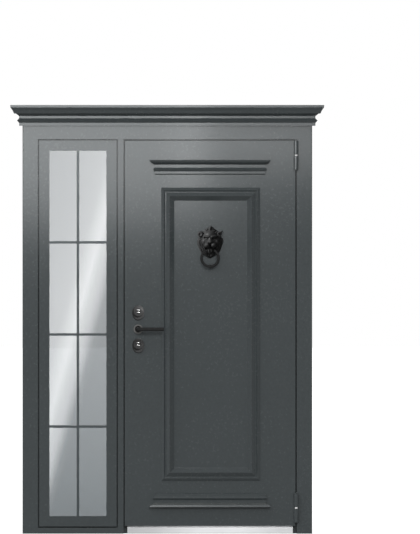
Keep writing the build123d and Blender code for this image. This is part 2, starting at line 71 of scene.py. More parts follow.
Array = np.ndarray
Shell = tuple[Array, Array]
Color = tuple[float, float, float]
Way = tuple[float, float, float]
Span = tuple[float, float, float, float]
Place = tuple[float, float]
Profile = Sequence[Place]
Material = bpy.types.Material
Node = bpy.types.Node
Object = bpy.types.Object
Socket = bpy.types.NodeSocket


class Body(Enum):
    """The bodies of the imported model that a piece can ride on."""

    FRAME = "frame"
    LEAF = "leaf"
    LEVER = "lever"
    RING = "knocker_ring"


class Slot(Enum):
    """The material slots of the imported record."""

    PAINT = "door_paint"
    BLACK = "black_metal"
    POLISHED = "polished_steel"


class Side(Enum):
    """The two faces of the door; the value is the outward step along Y."""

    OUTSIDE = -1
    INSIDE = 1

    @property
    def word(self) -> str:
        """The word for the side in the names of nodes and pieces."""
        return "outer" if self is Side.OUTSIDE else "inner"

    @property
    def axis(self) -> Array:
        """Unit vector that points out of the face."""
        return self.value * INWARD

    def reach(self, node: str) -> float:
        """The place along Y where a node's box ends on this side."""
        low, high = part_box(node)
        return low.y if self is Side.OUTSIDE else high.y


def middle_of(node: str) -> Array:
    """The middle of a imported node's box at rest."""
    low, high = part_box(node)
    return (np.array(low) + np.array(high)) / 2


# Surfaces


def ring_faces(rows: int, columns: int, closed: bool) -> Array:
    """Quads between neighbouring rings of a grid whose columns run round.

    Args:
        rows: number of rings.
        columns: points in each ring.
        closed: whether the last ring also meets the first.

    Returns:
        Corner indices, one row of four for each quad.
    """
    row = np.arange(rows if closed else rows - 1)[:, None]
    column = np.arange(columns)[None, :]
    after = (row + 1) % rows
    beside = (column + 1) % columns
    corners = [
        row * columns + column,
        row * columns + beside,
        after * columns + beside,
        after * columns + column,
    ]
    return np.stack(np.broadcast_arrays(*corners), -1).reshape(-1, 4)


def tube(rings: Array, closed: bool = False) -> Shell:
    """A closed shell from a grid of rings; open ends are closed by fans about their middles.

    Args:
        rings: points as [ring, place in ring, xyz].
        closed: whether the rings form a loop, so that there are no ends.

    Returns:
        Points and quads; a fan's triangle repeats its middle point's index.
    """
    rows, columns, _ = rings.shape
    points = rings.reshape(-1, 3)
    faces = ring_faces(rows, columns, closed)
    if not closed:
        middles = np.stack([rings[0].mean(0), rings[-1].mean(0)])
        place = np.arange(columns)
        beside = (place + 1) % columns
        first = np.full(columns, rows * columns)
        last = first + 1
        head = np.stack([beside, place, first, first], -1)
        tail = np.stack([place, beside, last, last], -1)
        tail[:, :2] += (rows - 1) * columns
        points = np.concatenate([points, middles])
        faces = np.concatenate([faces, head, tail])
    return points, outward(points, faces)


def outward(points: Array, faces: Array) -> Array:
    """Turns a closed shell's faces outwards, by the sign of its volume (sum of a . (b x c) / 6).

    Args:
        points: the shell's points.
        faces: its quads.

    Returns:
        The quads, reversed where the volume was negative.
    """
    a, b, c, d = (points[faces[:, k]] for k in range(4))
    volume = np.einsum("ij,ij->", a, np.cross(b, c)) + np.einsum("ij,ij->", a, np.cross(c, d))
    return faces if volume > 0 else faces[:, ::-1]


def join(shells: list[Shell]) -> Shell:
    """Several shells as one set of points and quads.

    Args:
        shells: the shells to put together.

    Returns:
        The joined points and quads.
    """
    starts = np.cumsum([0] + [len(points) for points, _ in shells[:-1]])
    points = np.concatenate([points for points, _ in shells])
    faces = np.concatenate([quads + start for (_, quads), start in zip(shells, starts)])
    return points, faces


def sweep(path: Array, radius: Array, normal: Array, sides: int = SMALL, closed: bool = False) -> Shell:
    """A round bar along a flat path: point = path + r (cos a * across + sin a * normal).

    Args:
        path: the bar's middle line.
        radius: the bar's radius at each point of the path.
        normal: unit normal of the plane that holds the path.
        sides: points round the bar.
        closed: whether the path is a loop.

    Returns:
        The bar's shell.
    """
    if closed:
        along = np.roll(path, -1, 0) - np.roll(path, 1, 0)
    else:
        along = np.gradient(path, axis=0)
    along /= np.linalg.norm(along, axis=1, keepdims=True)
    across = np.cross(normal, along)
    angle = np.linspace(0, TURN, sides, endpoint=False)[None, :, None]
    spoke = np.cos(angle) * across[:, None] + np.sin(angle) * normal
    return tube(path[:, None] + radius[:, None, None] * spoke, closed)


def turned(centre: Array, axis: Array, profile: Profile, sides: int = LARGE, closed: bool = False) -> Shell:
    """A turned piece: each (radius, height) of the profile is a circle about the axis.

    Args:
        centre: the foot of the axis.
        axis: unit vector that heights are measured along.
        profile: radii and heights in millimetres, from the foot to the tip.
        sides: points round each circle.
        closed: whether the profile is a loop, so that the piece has a bore.

    Returns:
        The turned shell.
    """
    side = np.cross(axis, UP if abs(axis[2]) < 0.9 else RIGHT)
    side /= np.linalg.norm(side)
    angle = np.linspace(0, TURN, sides, endpoint=False)[None, :, None]
    spoke = np.cos(angle) * side + np.sin(angle) * np.cross(axis, side)
    size = np.array(profile)[:, :, None, None] * MM
    return tube(centre + size[:, 0] * spoke + size[:, 1] * axis, closed)


def oval_plate(centre: Array, outward_y: float, half: Place, steps: Profile,
               power: float = 2.1, sides: int = LARGEST) -> Shell:
    """A bevelled oval plate: each step shrinks a superellipse |x/a|^n + |z/b|^n = 1 and lifts it.

    Args:
        centre: middle of the plate's foot.
        outward_y: -1 or 1, the way the plate stands.
        half: half width and half height in millimetres.
        steps: (inset, height) of each ring in millimetres.
        power: the exponent n; 2 is an ellipse.
        sides: points round each ring.

    Returns:
        The plate's shell.
    """
    angle = np.linspace(0, TURN, sides, endpoint=False)
    unit_x = np.sign(np.cos(angle)) * np.abs(np.cos(angle)) ** (2 / power)
    unit_z = np.sign(np.sin(angle)) * np.abs(np.sin(angle)) ** (2 / power)
    inset, height = np.array(steps).T[:, :, None]
    x = (half[0] - inset) * unit_x
    z = (half[1] - inset) * unit_z
    y = np.broadcast_to(outward_y * height, x.shape)
    return tube(centre + MM * np.stack([x, y, z], -1))


def moulded_bar(start: Array, end: Array, across: Array, rise: Array, section: Profile) -> Shell:
    """A straight bar: the section (across, rise) carried from start to end.

    Args:
        start: middle of the section's foot at one end.
        end: the same at the other end.
        across: unit vector of the section's first number.
        rise: unit vector of the section's second number.
        section: the section's corners in millimetres.

    Returns:
        The bar's shell.
    """
    flat = np.array(section) * MM
    corners = flat[:, :1] * across + flat[:, 1:] * rise
    return tube(np.stack([start + corners, end + corners]))


def smooth_step(value: Array, low: float, high: float) -> Array:
    """0 below low, 1 above high, and 3t^2 - 2t^3 between them."""
    t = np.clip((value - low) / (high - low), 0, 1)
    return t * t * (3 - 2 * t)


def hill(x: Array, z: Array, at: Place, wide: float, tall: float) -> Array:
    """A soft hill of height 1: exp(-(dx/wide)^2 - (dz/tall)^2)."""
    return np.exp(-((x - at[0]) / wide) ** 2 - ((z - at[1]) / tall) ** 2)


def dome(x: Array, z: Array, at: Place, wide: float, tall: float) -> Array:
    """A round cap of height 1: sqrt(1 - (dx/wide)^2 - (dz/tall)^2), and 0 outside it."""
    return np.sqrt(np.clip(1 - ((x - at[0]) / wide) ** 2 - ((z - at[1]) / tall) ** 2, 0, 1))


def ridge(x: Array, z: Array, start: Place, end: Place, wide: float) -> Array:
    """A soft ridge of height 1 along a straight line: exp(-(distance / wide)^2)."""
    run_x, run_z = end[0] - start[0], end[1] - start[1]
    along = ((x - start[0]) * run_x + (z - start[1]) * run_z) / (run_x**2 + run_z**2)
    along = np.clip(along, 0, 1)
    gap = (x - start[0] - along * run_x) ** 2 + (z - start[1] - along * run_z) ** 2
    return np.exp(-gap / wide**2)


def higher(first: Array, second: Array, soft: float) -> Array:
    """The higher of two surfaces, rounded where they meet: (a + b + sqrt((a - b)^2 + soft^2)) / 2."""
    return (first + second + np.sqrt((first - second) ** 2 + soft**2)) / 2


def closed_curve(corners: Array, count: int) -> Array:
    """A smooth closed line through the corners, by uniform Catmull-Rom spans.

    Args:
        corners: the points that the line passes through, in order.
        count: points wanted on the line.

    Returns:
        The line's points.
    """
    place = np.linspace(0, len(corners), count, endpoint=False)
    span = place.astype(int)
    t = (place - span)[:, None]
    before, start, end, after = (corners[(span + k) % len(corners)] for k in (-1, 0, 1, 2))
    bend = 2 * before - 5 * start + 4 * end - after
    swing = 3 * (start - end) + after - before
    return start + 0.5 * t * (end - before + t * (bend + t * swing))


def make_piece(name: str, shell: Shell, body: Body, material: Material,
               replaces: tuple[str, ...] = ()) -> None:
    """Puts a shell into the scene as a finished piece that rides on a body.

    Args:
        name: the piece's name.
        shell: its points and quads.
        body: the body that it moves with.
        material: its finish.
        replaces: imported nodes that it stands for.
    """
    points, faces = shell
    mesh = bpy.data.meshes.new(name)
    mesh.from_pydata(points.tolist(), [], face_lists(faces))
    mesh.polygons.foreach_set("use_smooth", np.ones(len(faces), bool))
    mesh.set_sharp_from_angle(angle=SHARP_ANGLE)
    mesh.update()
    mesh.materials.append(material)
    piece = bpy.data.objects.new(name, mesh)
    bpy.context.scene.collection.objects.link(piece)
    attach(piece, body.value)
    if replaces:
        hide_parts(*replaces)
    LOG.info("%s: %d points, rides on %s", name, len(points), body.value)


def face_lists(faces: Array) -> list[list[int]]:
    """Quads as lists of corners; a fan's triangle, which names its middle point twice, gets three."""
    doubled = faces[:, 0] == faces[:, 1]
    rolled = np.where(doubled[:, None], np.roll(faces, -2, 1), faces)
    return [face[:3] if face[2] == face[3] else face for face in rolled.tolist()]


def dress(nodes: tuple[str, ...], material: Material) -> None:
    """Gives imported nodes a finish, and leaves their shapes as they are.

    Args:
        nodes: names of the nodes.
        material: the finish.
    """
    for name in nodes:
        slots = frame["nodes"][name].data.materials
        slots.clear()
        slots.append(material)
        LOG.info("%s: dressed with %s", name, material.name)


# Shader graphs


class Graph:
    """A node tree with short calls that add nodes and join them."""

    def __init__(self, tree: bpy.types.NodeTree) -> None:
        """Keeps the tree that nodes go into."""
        self.tree = tree

    def node(self, kind: str, inputs: dict[Any, Any] | None = None, **settings: Any) -> Node:
        """Adds a node.

        Args:
            kind: the node's type without its ShaderNode prefix, or a full type name.
            inputs: values or sockets for its inputs, by name or index.
            settings: properties of the node.

        Returns:
            The new node.
        """
        full = kind if kind.startswith("Node") else "ShaderNode" + kind
        made = self.tree.nodes.new(full)
        for key, value in settings.items():
            setattr(made, key, value)
        self.feed(made, inputs or {})
        return made

    def feed(self, node: Node, inputs: dict[Any, Any]) -> None:
        """Sets a node's inputs to values, or joins them to sockets.

        Args:
            node: the node.
            inputs: values or sockets for its inputs, by name or index.
        """
        for key, value in inputs.items():
            if isinstance(value, Socket):
                self.tree.links.new(value, node.inputs[key])
            else:
                node.inputs[key].default_value = value

    def math(self, operation: str, first: Any, second: Any = 0.0) -> Socket:
        """A Math node's result."""
        return self.node("Math", {0: first, 1: second}, operation=operation).outputs[0]

    def weigh(self, first: Any, first_share: float, second: Any, second_share: float) -> Socket:
        """The sum of two values, each times its share."""
        weighed = self.math("MULTIPLY", first, first_share)
        return self.math("ADD", weighed, self.math("MULTIPLY", second, second_share))

    def span(self, value: Any, low: float, high: float, to_low: float, to_high: float) -> Socket:
        """A value carried from one range to another, clamped."""
        inputs = {"Value": value, "From Min": low, "From Max": high, "To Min": to_low, "To Max": to_high}
        return self.node("MapRange", inputs).outputs["Result"]

    def drift(self, noise: Socket, to_low: float = 0.0, to_high: float = 1.0) -> Socket:
        """A noise's usual range carried to another range."""
        return self.span(noise, NOISE_LOW, NOISE_HIGH, to_low, to_high)

    def noise(self, place: Socket, scale: Any, detail: float) -> Socket:
        """A noise texture's value."""
        return self.node("TexNoise", {"Vector": place, "Scale": scale, "Detail": detail}).outputs[0]

    def mix(self, share: Any, first: Any, second: Any) -> Socket:
        """A colour between two colours."""
        return self.node("Mix", {0: share, 6: first, 7: second}, data_type="RGBA").outputs[2]

    def bump(self, height: Socket, strength: float, distance: float) -> Socket:
        """A normal bent by a height; the distance is its depth in metres."""
        inputs = {"Height": height, "Strength": strength, "Distance": distance}
        return self.node("Bump", inputs).outputs[0]

    def group(self, tree: bpy.types.NodeTree, inputs: dict[str, Any]) -> Node:
        """A shared group, placed with its own values."""
        return self.node("Group", inputs, node_tree=tree)


def blank_graph(owner: Material | bpy.types.World) -> Graph:
    """The emptied node graph of a material or a world."""
    owner.use_nodes = True
    owner.node_tree.nodes.clear()
    return Graph(owner.node_tree)


def new_group(name: str, inputs: dict[str, tuple[str, Any]],
              outputs: tuple[str, ...]) -> tuple[Graph, dict[str, Socket], Node]:
    """An empty shader group with named sockets; its outputs are numbers.

    Args:
        name: the group's name.
        inputs: each input's kind and first value.
        outputs: the outputs' names.

    Returns:
        The group's graph, its inputs' sockets by name and its output node.
    """
    tree = bpy.data.node_groups.new(name, "ShaderNodeTree")
    for socket, (kind, value) in inputs.items():
        made = tree.interface.new_socket(name=socket, in_out="INPUT", socket_type="NodeSocket" + kind)
        if value is not None:
            made.default_value = value
    for socket in outputs:
        tree.interface.new_socket(name=socket, in_out="OUTPUT", socket_type="NodeSocketFloat")
    graph = Graph(tree)
    given = graph.node("NodeGroupInput").outputs
    return graph, {socket: given[socket] for socket in inputs}, graph.node("NodeGroupOutput")


def shagreen_group() -> bpy.types.NodeTree:
    """Fine pebbled paint: cells and grains that give a height, and a soft mottle of tone."""
    inputs = {"Vector": ("Vector", None), "Cell": ("Float", 320.0), "Drift": ("Float", 85.0)}
    graph, given, result = new_group("shagreen", inputs, ("Height", "Mottle"))
    finer, broad_scale = 2.3, 2.2
    cell_rise, grain_rise, drift_rise = 0.4, 0.4, 2.0
    drift_tone, broad_tone = 0.65, 0.35
    place = given["Vector"]
    cells = graph.node("TexVoronoi", {"Vector": place, "Scale": given["Cell"]}, feature="SMOOTH_F1")
    grain = graph.noise(place, graph.math("MULTIPLY", given["Cell"], finer), detail=2.0)
    drift = graph.noise(place, given["Drift"], detail=1.0)
    broad = graph.noise(place, broad_scale, detail=2.0)
    pebble = graph.weigh(cells.outputs["Distance"], cell_rise, grain, grain_rise)
    height = graph.weigh(pebble, 1.0, drift, drift_rise)
    graph.feed(result, {"Height": height, "Mottle": graph.weigh(drift, drift_tone, broad, broad_tone)})
    return graph.tree


def brushed_group() -> bpy.types.NodeTree:
    """Fine lines along one axis: noise stretched along the lines, as a height and a tone."""
    inputs = {"Vector": ("Vector", None), "Stretch": ("Vector", (4.0, 900.0, 900.0))}
    graph, given, result = new_group("brushed_lines", inputs, ("Height", "Tone"))
    stretched = graph.node("VectorMath", {0: given["Vector"], 1: given["Stretch"]}, operation="MULTIPLY")
    smear_scale, line_tone, smear_tone = 9.0, 0.7, 0.3
    lines = graph.noise(stretched.outputs[0], 1.0, detail=4.0)
    smear = graph.noise(given["Vector"], smear_scale, detail=2.0)
    graph.feed(result, {"Height": lines, "Tone": graph.weigh(lines, line_tone, smear, smear_tone)})
    return graph.tree


def rubbed_group() -> bpy.types.NodeTree:
    """Handling wear: blotches that gather where two noises agree, as a mask from 0 to 1."""
    inputs = {"Vector": ("Vector", None), "Size": ("Float", 60.0), "Amount": ("Float", 0.4)}
    graph, given, result = new_group("rubbed", inputs, ("Mask",))
    finer, least, most = 7.0, 0.2, 0.42
    broad = graph.noise(given["Vector"], given["Size"], detail=3.0)
    fine = graph.noise(given["Vector"], graph.math("MULTIPLY", given["Size"], finer), detail=4.0)
    agree = graph.span(graph.math("MULTIPLY", broad, fine), least, most, 0.0, 1.0)
    graph.feed(result, {"Mask": graph.math("MULTIPLY", agree, given["Amount"])})
    return graph.tree


def dust_group() -> bpy.types.NodeTree:
    """Light dust on faces that look up: the upward share of the normal, broken by noise."""
    inputs = {"Vector": ("Vector", None), "Amount": ("Float", 0.2)}
    graph, given, result = new_group("ledge_dust", inputs, ("Mask",))
    normal = graph.node("NewGeometry").outputs["Normal"]
    upward = graph.node("SeparateXYZ", {0: normal}).outputs["Z"]
    cloud_scale, steepest = 24.0, 0.75
    cloud = graph.noise(given["Vector"], cloud_scale, detail=4.0)
    ledge = graph.math("MULTIPLY", graph.span(upward, steepest, 1.0, 0.0, 1.0), cloud)
    graph.feed(result, {"Mask": graph.math("MULTIPLY", ledge, given["Amount"])})
    return graph.tree


class Effects:
    """The shared shader groups, each built once."""

    def __init__(self) -> None:
        """Builds the groups."""
        self.shagreen = shagreen_group()
        self.brushed = brushed_group()
        self.rubbed = rubbed_group()
        self.dust = dust_group()


# Finishes


@dataclass(frozen=True)
class Finish:
    """A material made of nodes; each kind of finish adds its own detail."""

    name: str
    color: Color
    roughness: float

    def start(self) -> tuple[Material, Graph, Node, Socket]:
        """A new material with a Principled shader.

        Returns:
            The material, its graph, the shader and the object coordinates.
        """
        material = bpy.data.materials.new(self.name)
        graph = blank_graph(material)
        shader = graph.node("BsdfPrincipled", {"Base Color": (*self.color, 1), "Roughness": self.roughness})
        graph.node("OutputMaterial", {"Surface": shader.outputs[0]})
        LOG.info("finish %s", self.name)
        return material, graph, shader, graph.node("TexCoord").outputs["Object"]

    def tone(self, graph: Graph, share: Socket, tones: Place) -> Socket:
        """The finish's colour, between two multiples of it."""
        first, second = ((*(min(1.0, part * times) for part in self.color), 1.0) for times in tones)
        return graph.mix(share, first, second)

    def build(self, effects: Effects) -> Material:
        """Makes the material."""
        raise NotImplementedError


@dataclass(frozen=True)
class Paint(Finish):
    """Satin powder coat with a fine shagreen."""

    grain: float = 0.35
    depth: float = 0.0003
    sheen: float = 0.15
    tones: Place = (0.93, 1.07)
    uneven: float = 0.03
    dust: float = 0.25
    dust_color: Color = (0.30, 0.29, 0.27)

    def build(self, effects: Effects) -> Material:
        """Shagreen height, mottled tone and roughness, and dust on the ledges."""
        material, graph, shader, place = self.start()
        skin = graph.group(effects.shagreen, {"Vector": place})
        dust = graph.group(effects.dust, {"Vector": place, "Amount": self.dust})
        mottle = skin.outputs["Mottle"]
        tone = self.tone(graph, graph.drift(mottle), self.tones)
        graph.feed(shader, {
            "Base Color": graph.mix(dust.outputs["Mask"], tone, (*self.dust_color, 1)),
            "Roughness": graph.drift(mottle, self.roughness - self.uneven, self.roughness + self.uneven),
            "Specular IOR Level": self.sheen,
            "Normal": graph.bump(skin.outputs["Height"], self.grain, self.depth),
        })
        return material


@dataclass(frozen=True)
class CastBlack(Finish):
    """Black coated casting, a little rubbed where hands reach."""

    rub: Color = (0.028, 0.028, 0.028)
    rubbed: float = 0.35
    sheen: float = 0.06
    tones: Place = (0.85, 1.15)
    smoother: float = 0.12
    cell: float = 900.0
    drift: float = 260.0
    grain: float = 0.2
    depth: float = 0.00008

    def build(self, effects: Effects) -> Material:
        """Fine casting skin, rubbed blotches that are lighter and smoother."""
        material, graph, shader, place = self.start()
        skin = graph.group(effects.shagreen, {"Vector": place, "Cell": self.cell, "Drift": self.drift})
        wear = graph.group(effects.rubbed, {"Vector": place, "Amount": self.rubbed}).outputs["Mask"]
        tone = self.tone(graph, graph.drift(skin.outputs["Mottle"]), self.tones)
        graph.feed(shader, {
            "Base Color": graph.mix(wear, tone, (*self.rub, 1)),
            "Roughness": graph.span(wear, 0.0, 1.0, self.roughness, self.roughness - self.smoother),
            "Specular IOR Level": self.sheen,
            "Normal": graph.bump(skin.outputs["Height"], self.grain, self.depth),
        })
        return material


@dataclass(frozen=True)
class Steel(Finish):
    """Bare steel, brushed along one axis or polished with faint scratches."""

    stretch: Way = (4.0, 900.0, 900.0)
    grain: float = 0.12
    depth: float = 0.00005
    uneven: float = 0.04
    tones: Place = (0.9, 1.08)

    def build(self, effects: Effects) -> Material:
        """Brushed lines in tone, roughness and height on a metallic shader."""
        material, graph, shader, place = self.start()
        lines = graph.group(effects.brushed, {"Vector": place, "Stretch": self.stretch})
        tone = lines.outputs["Tone"]
        graph.feed(shader, {
            "Base Color": self.tone(graph, graph.drift(tone), self.tones),
            "Roughness": graph.drift(tone, self.roughness - self.uneven, self.roughness + self.uneven),
            "Metallic": 1.0,
            "Normal": graph.bump(lines.outputs["Height"], self.grain, self.depth),
        })
        return material


@dataclass(frozen=True)
class Glass(Finish):
    """Tinted float glass with a faint roll and a slight drift of its tint."""

    index: float = 1.75
    cloud: float = 6.0
    tones: Place = (1.0, 0.985)
    roll: float = 2.0
    roll_strength: float = 0.02
    roll_depth: float = 0.0004

    def build(self, effects: Effects) -> Material:
        """Clear transmission, a tint that drifts a little and a long soft roll in the surface."""
        material, graph, shader, place = self.start()
        wear = graph.group(effects.rubbed, {"Vector": place, "Size": self.cloud, "Amount": 1.0})
        roll = graph.noise(place, self.roll, detail=0.0)
        graph.feed(shader, {
            "Base Color": self.tone(graph, wear.outputs["Mask"], self.tones),
            "Transmission Weight": 1.0,
            "IOR": self.index,
            "Normal": graph.bump(roll, self.roll_strength, self.roll_depth),
        })
        return material


@dataclass(frozen=True)
class Rubber(Finish):
    """Soft black rubber with a dull bloom."""

    cell: float = 1200.0
    drift: float = 90.0
    bloom: Span = (0.45, 0.75, 0.0, 0.5)
    tones: Place = (1.0, 1.9)
    grain: float = 0.25
    depth: float = 0.0001

    def build(self, effects: Effects) -> Material:
        """Fine grain in the height and a pale bloom in the tone."""
        material, graph, shader, place = self.start()
        skin = graph.group(effects.shagreen, {"Vector": place, "Cell": self.cell, "Drift": self.drift})
        bloom = graph.span(skin.outputs["Mottle"], *self.bloom)
        graph.feed(shader, {
            "Base Color": self.tone(graph, bloom, self.tones),
            "Normal": graph.bump(skin.outputs["Height"], self.grain, self.depth),
        })
        return material


class Finishes:
    """Every material of the door set, built once."""

    def __init__(self, effects: Effects) -> None:
        """Builds the materials."""
        polish = Steel("polished_steel", (0.52, 0.52, 0.52), 0.16, stretch=(300.0, 300.0, 300.0), grain=0.05)
        self.paint = Paint("graphite_powder_coat", (0.037, 0.0435, 0.0455), 0.255).build(effects)
        self.bars = Paint("graphite_bar_coat", (0.042, 0.050, 0.053), 0.3, sheen=0.09).build(effects)
        self.black = CastBlack("black_cast_metal", (0.013, 0.0132, 0.0133), 0.48).build(effects)
        # The roses' black has a higher sheen, which is a satin finish, and a colour much lighter than the
        # cast black, which paints the lit look of their rims.
        self.rose = CastBlack("satin_black_rose", (0.09, 0.09, 0.088), 0.42, sheen=0.2).build(effects)
        self.stainless = Steel("brushed_stainless", (0.31, 0.315, 0.32), 0.34).build(effects)
        self.polished = polish.build(effects)
        self.glass = Glass("grey_tinted_glass", (0.312, 0.341, 0.357), 0.0).build(effects)
        self.rubber = Rubber("black_seal_rubber", (0.012, 0.012, 0.013), 0.7).build(effects)


# Sub-assemblies


@dataclass
class FrameSet:
    """The fixed frame: jambs, head, cornice, sills and the plates let into it."""

    finishes: Finishes
    painted: tuple[str, ...] = (
        "left_jamb", "right_jamb", "frame_head", "mullion", "sidelight_sill", "cornice",
        "sash_left_stile", "sash_right_stile", "sash_top_rail", "sash_bottom_rail", "glazing_beads",
        "upper_hinge_frame_knuckle", "lower_hinge_frame_knuckle",
    )

    def build(self) -> None:
        """Dresses the frame's nodes."""
        dress(self.painted, self.finishes.paint)
        dress(("threshold",), self.finishes.stainless)
        dress(("hinge_bearings",), self.finishes.polished)
        dress(("door_seal",), self.finishes.rubber)


@dataclass
class Sidelight:
    """The fixed glazed side: two panes and the bars that divide them; sizes in millimetres."""

    finishes: Finishes
    bar_width: float = 12.8
    bar_height: float = 5.0
    bar_edge: float = 1.6
    rows: int = 4
    top_light: float = 474.5
    bar_pitch: float = 477.0

    def build(self) -> None:
        """Dresses the panes and lays the bars on them."""
        dress(("outer_glass_pane", "inner_glass_pane"), self.finishes.glass)
        for side in Side:
            self.lay_bars(side)

    def section(self) -> Profile:
        """A flat bar with eased edges, as (across, rise) corners."""
        half, edge, high = self.bar_width / 2, self.bar_edge, self.bar_height
        return [(-half, 0), (half, 0), (half, high - edge), (half - edge, high),
                (edge - half, high), (-half, high - edge)]

    def lay_bars(self, side: Side) -> None:
        """One upright through the middle of the sash's opening, and level bars that butt against it.

        Args:
            side: the face of the glass that the bars lie on.
        """
        left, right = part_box("sash_left_stile")[1].x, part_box("sash_right_stile")[0].x
        foot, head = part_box("sash_bottom_rail")[1].z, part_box("sash_top_rail")[0].z
        face = side.reach(f"{side.word}_glass_pane")
        middle, stop = (left + right) / 2, self.bar_width / 2 * MM
        lines = [((middle, foot), (middle, head), RIGHT)]
        for row in range(self.rows - 1):
            z = head - (self.top_light + self.bar_pitch * row) * MM
            lines += [((left, z), (middle - stop, z), UP), ((middle + stop, z), (right, z), UP)]
        shells = []
        for start, end, across in lines:
            ends = [np.array([x, face, z]) for x, z in (start, end)]
            shells.append(moulded_bar(*ends, across, side.axis, self.section()))
        make_piece(f"{side.word}_glazing_bars", join(shells), Body.FRAME, self.finishes.bars)


@dataclass
class Leaf:
    """The door leaf: panels, mouldings, ledges and its halves of the hinges."""

    finishes: Finishes
    painted: tuple[str, ...] = (
        "leaf_outer_panel", "leaf_core", "leaf_inner_panel", "panel_moulding_left", "panel_moulding_right",
        "panel_moulding_top", "panel_moulding_bottom", "head_ledge", "base_ledge", "inner_moulding_stiles",
        "inner_moulding_rails", "upper_hinge_leaf_knuckle", "lower_hinge_leaf_knuckle",
    )

    def build(self) -> None:
        """Dresses the leaf's nodes."""
        dress(self.painted, self.finishes.paint)


